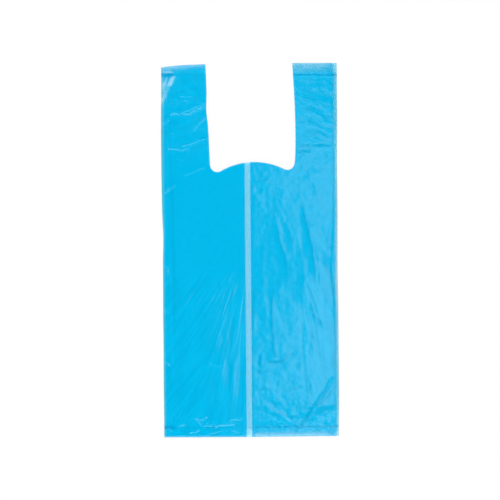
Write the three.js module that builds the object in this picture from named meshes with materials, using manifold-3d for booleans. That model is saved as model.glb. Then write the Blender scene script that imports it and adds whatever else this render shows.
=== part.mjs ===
// A nappy bag of thin blue film, lying flat as it comes out of its pack.
// It is one blown tube, laid flat with two deep side gussets, welded across the base and across the
// top of each handle, and die-cut between the handles to make the mouth.
// Millimetres, +Z up. The back panel lies on z = 0 and +Y points to the handles.
import * as THREE from 'three';
import { mergeVertices } from 'three/addons/utils/BufferGeometryUtils.js';
import Module from 'manifold-3d';

// Flat size of the folded bag
const FLAT_WIDTH = 176;
const LENGTH = 375;

// The film is drawn thicker than the real 0.012 mm, and the folded layers lie this far apart
const FILM = 0.1;
const LAYER_PITCH = 0.4;

// Trapped air lifts the middle of the front panel
const FRONT_BOW = 0.5;

// On the right the front panel was folded a little inside the back panel
const FRONT_INSET = 1.6;

// The two gussets stop short of each other, a little left of the middle
const GUSSET_GAP = 5.8;
const GUSSET_GAP_CENTRE = -2;

// Welds across the base and the handle tops, each with a loose skirt of film beyond it.
// A weld presses the stack of layers to a share of its height, which comes back over a short way.
const SKIRT = 10.5;
const WELD_WIDTH = 1.5;
const WELD_BEAD = 0.15;
const WELD_PRESS = 0.35;
const WELD_FADE = 13;

// Die cut between the handles: two round lobes with a low hump of film between them.
// The die struck a little askew, and its sides open slightly towards the top.
const CUT_CENTRE = 3;
const CUT_TILT = THREE.MathUtils.degToRad(1.3);
const CUT_FLARE = 1.7;
const MOUTH_DEPTH = 99;
const LOBE_SPACING = 72;
const LOBE_RADIUS = 6.5;
const LOBE_DEPTH = 9.2;

// The top of the left handle was cut at a slant
const LEFT_TOP_SLANT = 2.3;

// The cutters reach this far above and below the bag, through every layer
const CUTTER_REACH = 10;

// Creases drawn into the front panel while it was folded and packed. Each runs between two points,
// given as shares of the half width from the middle and of the length from the base.
const CREASES = [
  { from: [-0.06, 0.42], to: [-0.78, 0.10], rise: 1.5, spread: 9 },
  { from: [-0.10, 0.46], to: [-0.84, 0.24], rise: 1.3, spread: 8 },
  { from: [-0.08, 0.38], to: [-0.48, 0.07], rise: 1.2, spread: 7 },
  { from: [-0.28, 0.43], to: [-0.55, 0.30], rise: 0.9, spread: 6 },
  { from: [-0.50, 0.72], to: [-0.78, 0.68], rise: 0.9, spread: 6 },
  { from: [-0.84, 0.65], to: [-0.92, 0.60], rise: 0.8, spread: 6 },
  { from: [-0.48, 0.88], to: [-0.86, 0.86], rise: 1.2, spread: 6 },
  { from: [-0.84, 0.94], to: [-0.92, 0.90], rise: 1.6, spread: 8 },
  { from: [0.56, 0.60], to: [0.74, 0.42], rise: 1.1, spread: 8 },
  { from: [0.34, 0.50], to: [0.40, 0.42], rise: 0.9, spread: 7 },
  { from: [0.26, 0.31], to: [0.32, 0.22], rise: 0.9, spread: 7 },
  { from: [0.74, 0.34], to: [0.90, 0.27], rise: 1.0, spread: 7 },
  { from: [0.92, 0.16], to: [0.54, 0.03], rise: 1.8, spread: 8 },
  { from: [0.62, 0.90], to: [0.92, 0.87], rise: 1.0, spread: 6 },
  { from: [0.60, 0.80], to: [0.84, 0.76], rise: 1.0, spread: 6 },
];

// Creases die out towards the side folds and the welds
const CREASE_FADE = 12;

// Fineness: columns and rows of the creased front panel, rows of the flat layers under it,
// and segments of the round folds and cuts
const COLUMN_PITCH = 7;
const ROW_PITCH = 7.5;
const BAND_PITCH = 55;
const FOLD_SEGMENTS = 2;
const CUT_SEGMENTS = 12;

// Blue film
const FILM_COLOUR = 0x0bbbee;
const FILM_ROUGHNESS = 0.35;

const { lerp, smoothstep } = THREE.MathUtils;
const wasm = await Module();
wasm.setup();

const halfWidth = FLAT_WIDTH / 2;
const halfLength = LENGTH / 2;
const foldReach = (LAYER_PITCH + FILM) / 2;
const frontLevel = 3 * LAYER_PITCH + FILM / 2;
const stackHeight = frontLevel + FILM / 2 + FRONT_BOW;

// The stack has its full height between these two places, up and down the bag
const fullReach = halfLength - SKIRT - WELD_FADE;

// Section across the bag: one face of the folded film, on its outside or its inside.
// It runs from right to left along the front panel, in and out of the left gusset, along the back
// panel, and in and out of the right gusset.
function traceFilm(path, offset) {
  const outerFold = LAYER_PITCH / 2 + offset;
  const innerFold = LAYER_PITCH / 2 - offset;
  const backFold = (FILM + LAYER_PITCH) / 2;
  const tuckFold = backFold + LAYER_PITCH;
  const frontFold = tuckFold + LAYER_PITCH;
  const left = foldReach - halfWidth;
  const backRight = halfWidth - foldReach;
  const frontRight = backRight - FRONT_INSET;
  const leftTuck = GUSSET_GAP_CENTRE - GUSSET_GAP / 2 - foldReach;
  const rightTuck = GUSSET_GAP_CENTRE + GUSSET_GAP / 2 + foldReach;
  const up = Math.PI / 2;
  const down = -Math.PI / 2;
  const columns = Math.round((frontRight - left) / COLUMN_PITCH);

  path.absarc(frontRight, frontFold, outerFold, down, up, false);
  for (let column = 1; column < columns; column++) {
    const share = column / columns;
    const bow = FRONT_BOW * Math.sin(Math.PI * share);
    path.lineTo(lerp(frontRight, left, share), frontLevel + offset + bow);
  }
  path.absarc(left, frontFold, outerFold, up, up + Math.PI, false);
  path.absarc(leftTuck, tuckFold, innerFold, up, down, true);
  path.absarc(left, backFold, outerFold, up, up + Math.PI, false);
  path.absarc(backRight, backFold, outerFold, down, up, false);
  path.absarc(rightTuck, tuckFold, innerFold, down, down - Math.PI, true);
  return path;
}

// Places along the bag, from the handle tops to the base, where the section is set down
function rowStations() {
  const fromEnd = [0, SKIRT - WELD_WIDTH / 2, SKIRT + WELD_WIDTH / 2, SKIRT + WELD_FADE / 2];
  const top = fromEnd.map((distance) => halfLength - distance);
  const base = top.map((y) => -y).reverse();
  const rows = Math.round(2 * fullReach / ROW_PITCH);
  const middle = Array.from({ length: rows + 1 }, (_, row) => lerp(fullReach, -fullReach, row / rows));
  return [...top, ...middle, ...base];
}

// Under the creased front panel the layers are flat, so their rows gather into a few bands
function bandAt(y) {
  if (Math.abs(y) >= fullReach) {
    return y;
  }
  const bands = Math.round(2 * fullReach / BAND_PITCH);
  const band = Math.round(bands * (y + fullReach) / (2 * fullReach));
  return lerp(-fullReach, fullReach, band / bands);
}

// Share of its full height that the stack keeps near a weld
function pressAt(y) {
  const fromWeld = Math.abs(halfLength - Math.abs(y) - SKIRT) - WELD_WIDTH / 2;
  return lerp(WELD_PRESS, 1, smoothstep(fromWeld, 0, WELD_FADE - WELD_WIDTH / 2));
}

// Height that the creases lift the front panel by at one place
function creaseAt(x, y) {
  const place = new THREE.Vector3(x, y, 0);
  const nearest = new THREE.Vector3();
  const sideFade = smoothstep(halfWidth - FRONT_INSET - Math.abs(x), 0, CREASE_FADE);
  const weldFade = smoothstep(halfLength - SKIRT - Math.abs(y), 0, CREASE_FADE);
  const lifts = CREASES.map(({ from, to, rise, spread }) => {
    const start = new THREE.Vector3(from[0] * halfWidth, from[1] * LENGTH - halfLength, 0);
    const end = new THREE.Vector3(to[0] * halfWidth, to[1] * LENGTH - halfLength, 0);
    new THREE.Line3(start, end).closestPointToPoint(place, true, nearest);
    return rise * Math.exp(-((nearest.distanceTo(place) / spread) ** 2));
  });
  return Math.max(...lifts) * sideFade * weldFade;
}

// The folded tube: the section is run through one step for each row, then each row is set at its
// station, pressed together near the welds, and the front panel is lifted along its creases.
function foldedTube() {
  const stations = rowStations();
  const section = traceFilm(new THREE.Shape(), FILM / 2);
  section.holes.push(traceFilm(new THREE.Path(), -FILM / 2));
  const tube = new THREE.ExtrudeGeometry(section, {
    depth: stations.length - 1,
    steps: stations.length - 1,
    curveSegments: FOLD_SEGMENTS,
    bevelEnabled: false,
  });
  const panelReach = halfWidth - FRONT_INSET - 2 * foldReach;
  const position = tube.attributes.position;
  for (let i = 0; i < position.count; i++) {
    const x = position.getX(i);
    const height = position.getY(i);
    const station = stations[Math.round(position.getZ(i))];
    const onFrontPanel = height > frontLevel - LAYER_PITCH / 2 && Math.abs(x) < panelReach;
    const y = onFrontPanel ? station : bandAt(station);
    const lift = onFrontPanel ? creaseAt(x, y) : 0;
    position.setXYZ(i, x, y, height * pressAt(y) + lift);
  }
  return tube;
}

// Bar of welded film across the bag, as high as the pressed stack and its bead
function weldBar(y) {
  const height = stackHeight * WELD_PRESS + WELD_BEAD;
  const bar = new THREE.BoxGeometry(FLAT_WIDTH - 2 * foldReach, WELD_WIDTH, height);
  return bar.translate(0, y, height / 2);
}

// Outline of the die: down the inside of the left handle, round the lobes and over the hump of the
// mouth, and up the inside of the right handle. The crest of the hump is at its origin.
function dieOutline() {
  const lobeReach = LOBE_SPACING / 2;
  const lobeLevel = LOBE_RADIUS - LOBE_DEPTH;
  const overTop = MOUTH_DEPTH + SKIRT;
  const sideReach = lobeReach + LOBE_RADIUS;
  // The hump touches both lobes, so its radius follows from their spacing and depth
  const humpRadius = (lobeReach ** 2 + LOBE_DEPTH ** 2) / (2 * LOBE_DEPTH) - LOBE_RADIUS;
  const touch = Math.atan2(lobeLevel + humpRadius, lobeReach);

  const die = new THREE.Shape();
  die.absarc(-lobeReach, lobeLevel, LOBE_RADIUS, Math.PI, 2 * Math.PI - touch, false);
  die.absarc(0, -humpRadius, humpRadius, Math.PI - touch, touch, true);
  die.absarc(lobeReach, lobeLevel, LOBE_RADIUS, Math.PI + touch, 2 * Math.PI, false);
  die.lineTo(sideReach + CUT_FLARE, overTop);
  die.lineTo(-sideReach - CUT_FLARE, overTop);
  return die;
}

// Outline of the slanting trim across the left handle top
function trimOutline() {
  const innerEnd = CUT_CENTRE - LOBE_SPACING / 2;
  const outerEnd = -halfWidth - SKIRT;
  const trim = new THREE.Shape();
  trim.moveTo(outerEnd, halfLength - LEFT_TOP_SLANT);
  trim.lineTo(-halfWidth, halfLength - LEFT_TOP_SLANT);
  trim.lineTo(innerEnd, halfLength);
  trim.lineTo(innerEnd, halfLength + SKIRT);
  trim.lineTo(outerEnd, halfLength + SKIRT);
  return trim;
}

// A cutter deep enough to go through every layer
function cutter(outline) {
  const blade = new THREE.ExtrudeGeometry(outline, {
    depth: 2 * CUTTER_REACH,
    curveSegments: CUT_SEGMENTS,
    bevelEnabled: false,
  });
  return blade.translate(0, 0, -CUTTER_REACH);
}

// A closed solid from a geometry, with the triangles that shrank to nothing left out
function toSolid(geometry) {
  geometry.deleteAttribute('normal');
  geometry.deleteAttribute('uv');
  const merged = mergeVertices(geometry, FILM / 100);
  const corners = merged.index.array;
  const triangles = [];
  for (let i = 0; i < corners.length; i += 3) {
    const [a, b, c] = corners.slice(i, i + 3);
    if (a !== b && b !== c && c !== a) {
      triangles.push(a, b, c);
    }
  }
  return new wasm.Manifold(new wasm.Mesh({
    numProp: 3,
    vertProperties: merged.attributes.position.array,
    triVerts: new Uint32Array(triangles),
  }));
}

function toGeometry(solid) {
  const mesh = solid.getMesh();
  const geometry = new THREE.BufferGeometry();
  geometry.setAttribute('position', new THREE.BufferAttribute(mesh.vertProperties, mesh.numProp));
  geometry.setIndex(new THREE.BufferAttribute(mesh.triVerts, 1));
  geometry.computeVertexNormals();
  return geometry;
}

function nappyBag() {
  const weldReach = halfLength - SKIRT;
  const die = cutter(dieOutline()).rotateZ(CUT_TILT).translate(CUT_CENTRE, halfLength - MOUTH_DEPTH, 0);
  const bag = toSolid(foldedTube())
    .add(toSolid(weldBar(-weldReach)))
    .add(toSolid(weldBar(weldReach)))
    .subtract(toSolid(die))
    .subtract(toSolid(cutter(trimOutline())));
  const film = new THREE.MeshStandardMaterial({
    color: FILM_COLOUR,
    roughness: FILM_ROUGHNESS,
    metalness: 0,
  });
  const mesh = new THREE.Mesh(toGeometry(bag), film);
  mesh.name = 'nappy_bag';
  return mesh;
}

const part = new THREE.Group();
part.add(nappyBag());

export default part;
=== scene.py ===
# %% [markdown]
# # A nappy bag of thin blue film
#
# The bag is one blown tube of film. It is laid flat with two deep side gussets, welded across the base
# and across the top of each handle, and die-cut between the handles. This lesson makes the film as a
# mesh, folds and wrinkles it with Geometry Nodes, and gives it a see-through blue finish.
#
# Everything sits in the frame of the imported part, so the first step loads that frame and keeps its box.

# %% Load the frame
import math

import bpy
import numpy as np
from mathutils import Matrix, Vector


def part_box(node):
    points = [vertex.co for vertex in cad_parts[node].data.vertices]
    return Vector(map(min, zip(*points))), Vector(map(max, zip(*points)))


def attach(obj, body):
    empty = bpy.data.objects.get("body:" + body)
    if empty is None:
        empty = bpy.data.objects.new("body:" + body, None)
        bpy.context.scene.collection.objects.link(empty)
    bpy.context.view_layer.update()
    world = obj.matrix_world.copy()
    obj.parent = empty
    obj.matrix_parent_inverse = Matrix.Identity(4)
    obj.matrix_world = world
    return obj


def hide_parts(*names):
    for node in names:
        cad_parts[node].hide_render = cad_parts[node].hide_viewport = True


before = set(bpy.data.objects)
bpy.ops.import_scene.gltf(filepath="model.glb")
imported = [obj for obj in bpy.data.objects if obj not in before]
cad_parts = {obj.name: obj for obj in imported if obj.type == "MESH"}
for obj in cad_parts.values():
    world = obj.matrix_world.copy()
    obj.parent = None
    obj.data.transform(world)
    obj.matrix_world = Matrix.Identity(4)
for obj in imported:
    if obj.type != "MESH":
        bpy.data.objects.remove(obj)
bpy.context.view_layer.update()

# %% [markdown]
# ## Camera
#
# The camera comes first, because every later choice is judged through it. It hangs straight above the
# bag. The frame's width follows from the bag's own length and the share of the picture that it takes up,
# and the camera is turned a little, because the bag doesn't lie quite square in the picture.

# %% Camera straight above the bag
MM = 0.001
FRAME_PIXELS = 500
BAG_PIXELS = 373
CAMERA_HEIGHT = 0.95
BAG_TURN = math.radians(0.46)

bag_low, bag_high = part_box("nappy_bag")
frame_width = (bag_high.y - bag_low.y) * FRAME_PIXELS / BAG_PIXELS

camera_data = bpy.data.cameras.new("camera_above")
camera_data.sensor_fit = "HORIZONTAL"
camera_data.angle = 2 * math.atan(frame_width / 2 / CAMERA_HEIGHT)
camera = bpy.data.objects.new("camera_above", camera_data)
camera.location = (0, 0, CAMERA_HEIGHT)
camera.rotation_euler = (0, 0, -BAG_TURN)
bpy.context.collection.objects.link(camera)
bpy.context.scene.camera = camera
bpy.context.scene.view_settings.view_transform = "Standard"
print(f"camera at {CAMERA_HEIGHT} m sees {frame_width / MM:.1f} mm")

# %% [markdown]
# ## Sizes of the folded film
#
# A flat bag is best thought of as a plan, seen from above, and a stack of layers, seen from the side.
# These are the sizes of both, in millimetres. Level 3 is the front panel, 2 and 1 are the two sides of
# each gusset, and 0 is the back panel. On the right, the front panel stops a little short of the back
# one.

# %% Plan and stack
HALF_WIDTH = (bag_high.x - bag_low.x) / 2 / MM
HALF_LENGTH = (bag_high.y - bag_low.y) / 2 / MM
FRONT_INSET = 1.6
GUSSET_GAP = 5.8
GUSSET_GAP_CENTRE = -2.0
LAYER_PITCH = 0.4
FILM_LEVEL = 0.05
FILM_THICKNESS = 0.04
FRONT, GUSSET_FRONT, GUSSET_BACK, BACK = 3, 2, 1, 0

fold_radius = LAYER_PITCH / 2
left_fold = -HALF_WIDTH + fold_radius + FILM_LEVEL
back_right_fold = HALF_WIDTH - fold_radius - FILM_LEVEL
front_right_fold = back_right_fold - FRONT_INSET
left_tuck = GUSSET_GAP_CENTRE - GUSSET_GAP / 2 - fold_radius
right_tuck = GUSSET_GAP_CENTRE + GUSSET_GAP / 2 + fold_radius
left_depth = left_tuck - left_fold
right_depth = back_right_fold - right_tuck
print(f"left gusset reaches in {left_depth:.1f} mm, right one {right_depth:.1f} mm")

# %% [markdown]
# ## The die cut
#
# One die cuts the mouth and the insides of both handles. Its curve is two round lobes with a low hump
# between them, and straight sides that open slightly upwards. It struck the bag a little askew. Drawing
# it as three arcs that touch keeps the curve smooth, and the hump's radius then follows from the lobes.

# %% Curve of the mouth
CUT_CENTRE = 3.0
CUT_TILT = math.radians(1.3)
MOUTH_DEPTH = 99.3
LOBE_REACH = 35.2
LOBE_RADIUS = 7.3
LOBE_DEPTH = 8.9
DENSE_STEPS = 90

lobe_level = LOBE_RADIUS - LOBE_DEPTH
hump_radius = (LOBE_REACH**2 + LOBE_DEPTH**2) / (2 * LOBE_DEPTH) - LOBE_RADIUS
touch = math.atan2(lobe_level + hump_radius, LOBE_REACH)


def place_cut(points):
    """Turns points of the die by its tilt and sets them down on the bag."""
    turn = np.array([[math.cos(CUT_TILT), -math.sin(CUT_TILT)], [math.sin(CUT_TILT), math.cos(CUT_TILT)]])
    return np.asarray(points) @ turn.T + (CUT_CENTRE, HALF_LENGTH - MOUTH_DEPTH)


def arc(centre, radius, start, end, steps):
    """Points along an arc, from its first angle to its last."""
    angles = np.linspace(start, end, steps + 1)
    return np.column_stack([centre[0] + radius * np.cos(angles), centre[1] + radius * np.sin(angles)])


def mouth_curve(lobe_steps, hump_steps):
    """Points along the mouth, from the left shoulder to the right one."""
    left = arc((-LOBE_REACH, lobe_level), LOBE_RADIUS, math.pi, 2 * math.pi - touch, lobe_steps)
    hump = arc((0, -hump_radius), hump_radius, math.pi - touch, touch, hump_steps)
    right = arc((LOBE_REACH, lobe_level), LOBE_RADIUS, math.pi + touch, 2 * math.pi, lobe_steps)
    return place_cut(np.concatenate([left, hump[1:-1], right]))


dense_mouth = mouth_curve(DENSE_STEPS, DENSE_STEPS)
left_shoulder, right_shoulder = dense_mouth[0], dense_mouth[-1]


def top_of_body(x):
    return np.interp(x, dense_mouth[:, 0], dense_mouth[:, 1])


shoulders = f"{left_shoulder.round(1)} and {right_shoulder.round(1)}"
print(f"hump radius {hump_radius:.1f} mm, shoulders at {shoulders}")

# %% [markdown]
# ## Insides and tops of the handles
#
# The die's sides are straight, but film doesn't stay where it was cut. The left handle has a shallow
# hollow in its inner side. The right one has a longer hollow, and its top leans inwards. The tops aren't
# quite level. So each side is the die's line with a small bow added, and the tops are a few straight
# stretches.

# %% Sides and tops of the handles
CUT_FLARE = 1.7
SKIRT = 10.5
RIGHT_BOW = 1.55
RIGHT_BOW_SKEW = 0.75
RIGHT_LEAN = 1.1
LEFT_NICK = 1.1
LEFT_NICK_PLACE = 141.0
LEFT_NICK_REACH = 12.0
TOP_BENDS = [-HALF_WIDTH, -66.0, -40.0, 0.0, HALF_WIDTH]
TOP_DROPS = [3.3, 1.4, 0.7, 0.3, 0.3]


def handle_side(side):
    """The straight side of the die: its foot at the shoulder and its far end."""
    foot = (side * (LOBE_REACH + LOBE_RADIUS), lobe_level)
    far = (side * (LOBE_REACH + LOBE_RADIUS + CUT_FLARE), MOUTH_DEPTH + SKIRT)
    return place_cut([foot, far])


def top_of_handle(x):
    return HALF_LENGTH - np.interp(x, TOP_BENDS, TOP_DROPS)


def drawn_back(side, share, y):
    """How far the cut side of a handle has moved from its straight line. The bow is a parabola."""
    if side < 0:
        return -LEFT_NICK * np.exp(-(((y - LEFT_NICK_PLACE) / LEFT_NICK_REACH) ** 2))
    early = share**RIGHT_BOW_SKEW
    return RIGHT_BOW * 4 * early * (1 - early) - RIGHT_LEAN * share


print(f"the left top drops by {TOP_DROPS[0]} mm at its outer end")

# %% [markdown]
# ## Columns round the tube
#
# The film is a grid of rows and columns. Going once round the tube, the columns run along the front
# panel, in and out of the right gusset, along the back panel, and in and out of the left gusset. A cloth
# simulation could fold the tube too, but this bag lies pressed flat and its wrinkles are particular ones,
# so it is drawn.
#
# The front panel shows every wrinkle, so its columns are close together. The layers under it take far
# fewer.

# %% Ring of columns
FINE_PITCH = 1.45
COARSE_PITCH = 16.0
FINE_LOBE_STEPS = 9
COARSE_LOBE_STEPS = 4
FOLD_STEPS = 3


def column_places(pitch, lobe_steps):
    """Places of columns across the bag, with one at each shoulder and more round the lobes."""
    hump_steps = math.ceil((right_shoulder[0] - left_shoulder[0]) / pitch)
    left_steps = math.ceil((left_shoulder[0] - left_fold) / pitch)
    right_steps = math.ceil((front_right_fold - right_shoulder[0]) / pitch)
    mouth = mouth_curve(lobe_steps, hump_steps)[:, 0]
    left = np.linspace(left_fold, mouth[0], left_steps + 1)
    right = np.linspace(mouth[-1], front_right_fold, right_steps + 1)
    return np.concatenate([left[:-1], mouth, right[1:]])


fine_places = column_places(FINE_PITCH, FINE_LOBE_STEPS)
coarse_places = column_places(COARSE_PITCH, COARSE_LOBE_STEPS)


def layer(start, end, level, places=coarse_places):
    """Columns of one flat layer, from one fold to the next, as pairs of place and level."""
    margin = fold_radius + FRONT_INSET
    inside = [x for x in places if min(start, end) + margin < x < max(start, end) - margin]
    inside.sort(reverse=start > end)
    return [(x, level) for x in [start, *inside, end]]


def fold(x, start_level, end_level, side):
    """Columns round a half-turn of the film between two layers, bulging to one side."""
    angles = np.linspace(-math.pi / 2, math.pi / 2, FOLD_STEPS + 2)[1:-1]
    middle, half = (start_level + end_level) / 2, (end_level - start_level) / 2
    return [(x + side * fold_radius * math.cos(a), middle + half * math.sin(a)) for a in angles]


ring = [
    *layer(left_fold, front_right_fold, FRONT, fine_places),
    *fold(front_right_fold, FRONT, GUSSET_FRONT, 1),
    *layer(front_right_fold, right_tuck, GUSSET_FRONT),
    *fold(right_tuck, GUSSET_FRONT, GUSSET_BACK, -1),
    *layer(right_tuck, back_right_fold, GUSSET_BACK),
    *fold(back_right_fold, GUSSET_BACK, BACK, 1),
    *layer(back_right_fold, left_fold, BACK),
    *fold(left_fold, BACK, GUSSET_BACK, -1),
    *layer(left_fold, left_tuck, GUSSET_BACK),
    *fold(left_tuck, GUSSET_BACK, GUSSET_FRONT, 1),
    *layer(left_tuck, left_fold, GUSSET_FRONT),
    *fold(left_fold, GUSSET_FRONT, FRONT, -1),
]
ring_x, ring_level = np.array(ring).T

# %% [markdown]
# ## Film as a mesh
#
# The body is the whole ring, from the base up to the mouth. Each row is spread between the base and the
# curve of the die, so the cut edge is smooth, with no faces sawn off. Above the shoulders only the
# columns of the two handles go on, and the cut leaves each handle open along its inner side.

# %% Rows of the body
ROW_PITCH = 1.5
body_rows = math.ceil((left_shoulder[1] + HALF_LENGTH) / ROW_PITCH)
handle_rows = math.ceil((HALF_LENGTH - left_shoulder[1]) / ROW_PITCH)

shares = np.linspace(0, 1, body_rows + 1)[:, None]
body_y = -HALF_LENGTH + shares * (top_of_body(ring_x) + HALF_LENGTH)
body_x = np.broadcast_to(ring_x, body_y.shape)
places = [np.column_stack(row) for row in zip(body_x, body_y)]
levels = [ring_level] * (body_rows + 1)
around = np.arange(len(ring))
faces = []


def join_rows(lower, upper, closed):
    """Quads between two rows of point numbers, facing out of the tube."""
    next_lower, next_upper = np.roll(lower, -1), np.roll(upper, -1)
    quads = np.column_stack([lower, next_lower, next_upper, upper])
    faces.extend((quads if closed else quads[:-1]).tolist())


for row in range(body_rows):
    join_rows(row * len(ring) + around, (row + 1) * len(ring) + around, closed=True)
print(f"{body_rows} rows of the body, {len(faces)} quads")


# %% Strips of the handles
SHOULDER_SLACK = 0.01


def cyclic_runs(mask):
    """Unbroken runs of columns, going round the ring, where the mask is set."""
    first = int(np.flatnonzero(~mask)[0])
    order = np.roll(around, -first)
    steps = np.split(order, np.flatnonzero(np.diff(mask[order].astype(int))) + 1)
    return [run for run in steps if mask[run[0]]]


def grow_handle(columns, shoulder, outer_fold, side):
    """Adds one strip of a handle, from the shoulder to the top."""
    foot, far = handle_side(side)
    lower = body_rows * len(ring) + columns
    x0 = ring_x[columns]
    for share in np.linspace(0, 1, handle_rows + 1)[1:]:
        y = shoulder[1] + share * (top_of_handle(x0) - shoulder[1])
        inner = foot[0] + (y - foot[1]) * (far[0] - foot[0]) / (far[1] - foot[1])
        inner = inner + drawn_back(side, share, y)
        reach = np.clip((x0 - outer_fold) / (shoulder[0] - outer_fold), 0, None)
        beyond = np.minimum(side * (outer_fold - x0), 0) * -side
        x = outer_fold + beyond + reach * (inner - outer_fold)
        first = sum(map(len, places))
        places.append(np.column_stack([x, y]))
        levels.append(ring_level[columns])
        upper = first + np.arange(len(columns))
        join_rows(lower, upper, closed=False)
        lower = upper


for strip in cyclic_runs(ring_x <= left_shoulder[0] + SHOULDER_SLACK):
    grow_handle(strip, left_shoulder, left_fold, -1)
for strip in cyclic_runs(ring_x >= right_shoulder[0] - SHOULDER_SLACK):
    grow_handle(strip, right_shoulder, back_right_fold, 1)
print(f"{handle_rows} rows of the handles, {len(faces)} quads in all")

# %% The film as an object
plan = np.concatenate(places)
film_mesh = bpy.data.meshes.new("bag_film")
film_mesh.from_pydata(np.column_stack([plan * MM, np.zeros(len(plan))]).tolist(), [], faces)
level_attribute = film_mesh.attributes.new("level", "FLOAT", "POINT")
level_attribute.data.foreach_set("value", np.concatenate(levels).astype(np.float32))
bag_film = bpy.data.objects.new("bag_film", film_mesh)
bpy.context.collection.objects.link(bag_film)

# %% [markdown]
# ## Node maths that reads like Python
#
# Both the wrinkles and the finish need a lot of arithmetic in nodes. One small class wraps a socket, so
# that adding or multiplying two of them adds the Math node. Any other node comes from its `node` method.


# %% A socket that can be added and multiplied
class Wire:
    """One output socket of a node tree."""

    def __init__(self, tree, socket):
        self.tree = tree
        self.socket = socket

    @classmethod
    def node(cls, tree, kind, settings=None, sockets=None, output=0):
        """Adds any node: its settings first, then the values or links of its sockets."""
        made = tree.nodes.new(kind)
        for name, value in (settings or {}).items():
            setattr(made, name, value)
        for key, value in (sockets or {}).items():
            if isinstance(value, Wire):
                tree.links.new(value.socket, made.inputs[key])
            else:
                made.inputs[key].default_value = value
        return cls(tree, made.outputs[output]) if made.outputs else None

    def twin(self, output):
        """Another output of the same node."""
        return Wire(self.tree, self.socket.node.outputs[output])

    def maths(self, operation, first, *others):
        sockets = dict(enumerate([first, *others]))
        return Wire.node(self.tree, "ShaderNodeMath", {"operation": operation}, sockets)

    def vector(self, operation, *others, output=0):
        sockets = dict(enumerate([self, *others]))
        return Wire.node(self.tree, "ShaderNodeVectorMath", {"operation": operation}, sockets, output)

    def scaled(self, factor):
        """This vector, times a number."""
        sockets = {0: self, "Scale": factor}
        return Wire.node(self.tree, "ShaderNodeVectorMath", {"operation": "SCALE"}, sockets)

    def smooth(self, start, end):
        """0 before the start, 1 after the end, and a smooth step between them."""
        sockets = {"Value": self, "From Min": start, "From Max": end}
        return Wire.node(self.tree, "ShaderNodeMapRange", {"interpolation_type": "SMOOTHSTEP"}, sockets)

    def blend(self, none, full):
        """The first value where this is 0, and the second where it is 1."""
        return none + self * (full - none)

    def exp(self):
        return self.maths("EXPONENT", self)

    def sqrt(self):
        return self.maths("SQRT", self)

    def most(self, other):
        return self.maths("MAXIMUM", self, other)

    def least(self, other):
        return self.maths("MINIMUM", self, other)

    def __abs__(self):
        return self.maths("ABSOLUTE", self)

    def __add__(self, other):
        return self.maths("ADD", self, other)

    __radd__ = __add__

    def __sub__(self, other):
        return self.maths("SUBTRACT", self, other)

    def __rsub__(self, other):
        return self.maths("SUBTRACT", other, self)

    def __mul__(self, other):
        return self.maths("MULTIPLY", self, other)

    __rmul__ = __mul__

    def __truediv__(self, other):
        return self.maths("DIVIDE", self, other)


print("wires ready")


# %% A tree with named inputs
NUMBER, VECTOR = "NodeSocketFloat", "NodeSocketVector"


def new_tree(name, inputs, outputs):
    """A Geometry Nodes tree with named inputs, and the wires that come from them."""
    tree = bpy.data.node_groups.new(name, "GeometryNodeTree")
    for label, (kind, value) in inputs.items():
        socket = tree.interface.new_socket(label, in_out="INPUT", socket_type=kind)
        if value is not None:
            socket.default_value = value
    for label, kind in outputs.items():
        tree.interface.new_socket(label, in_out="OUTPUT", socket_type=kind)
    entry = tree.nodes.new("NodeGroupInput")
    return tree, {label: Wire(tree, entry.outputs[label]) for label in inputs}


print("node maths ready")

# %% [markdown]
# ## The shape of one crease
#
# A crease in thin film follows a line of straight runs. Beside it the film either tips over in a narrow
# band, or falls away from a crest, steeply on one side and slowly on the other. Both catch the light on
# one side and lose it on the other. One node group finds the nearest run, how far away it is, on which
# side, and how far along the crease. Two more turn these into the height of a band or a crest, which
# fades out at both ends, and into a thin line along it, where the finish paints shade, because sharply
# bent film looks darker there.

# %% Nearest run of a crease
FAR_AWAY = 1000.0

nearest_run, given = new_tree(
    "nearest_run",
    {
        "Place": (VECTOR, None),
        "Start": (VECTOR, None),
        "End": (VECTOR, None),
        "Before": (NUMBER, 0.0),
        "Share": (NUMBER, 1.0),
        "Distance": (NUMBER, FAR_AWAY),
        "Side": (NUMBER, 0.0),
        "Along": (NUMBER, 0.0),
    },
    {"Distance": NUMBER, "Side": NUMBER, "Along": NUMBER},
)
run = given["End"].vector("SUBTRACT", given["Start"])
reach = given["Place"].vector("SUBTRACT", given["Start"])
share = reach.vector("DOT_PRODUCT", run, output=1) / run.vector("DOT_PRODUCT", run, output=1)
share = share.most(0.0).least(1.0)
distance = reach.vector("SUBTRACT", run.scaled(share)).vector("LENGTH", output=1)
crossed = run.vector("CROSS_PRODUCT", reach)
turned = Wire.node(nearest_run, "ShaderNodeSeparateXYZ", sockets={0: crossed}, output=2)
found = {
    "Distance": distance,
    "Side": turned / run.vector("LENGTH", output=1),
    "Along": given["Before"] + share * given["Share"],
}
nearer = distance.maths("LESS_THAN", distance, given["Distance"])
sockets = {label: nearer.blend(given[label], value) for label, value in found.items()}
Wire.node(nearest_run, "NodeGroupOutput", sockets=sockets)
print(f"nearest run: {len(nearest_run.nodes)} nodes")

# %% Shapes of a band and a crest
END_FADE = 0.2
CREST_FALL = 3.0
SHADE_LINE_WIDTH = 1.4
SHADE_LINE_SLOPE = 0.2


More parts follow.
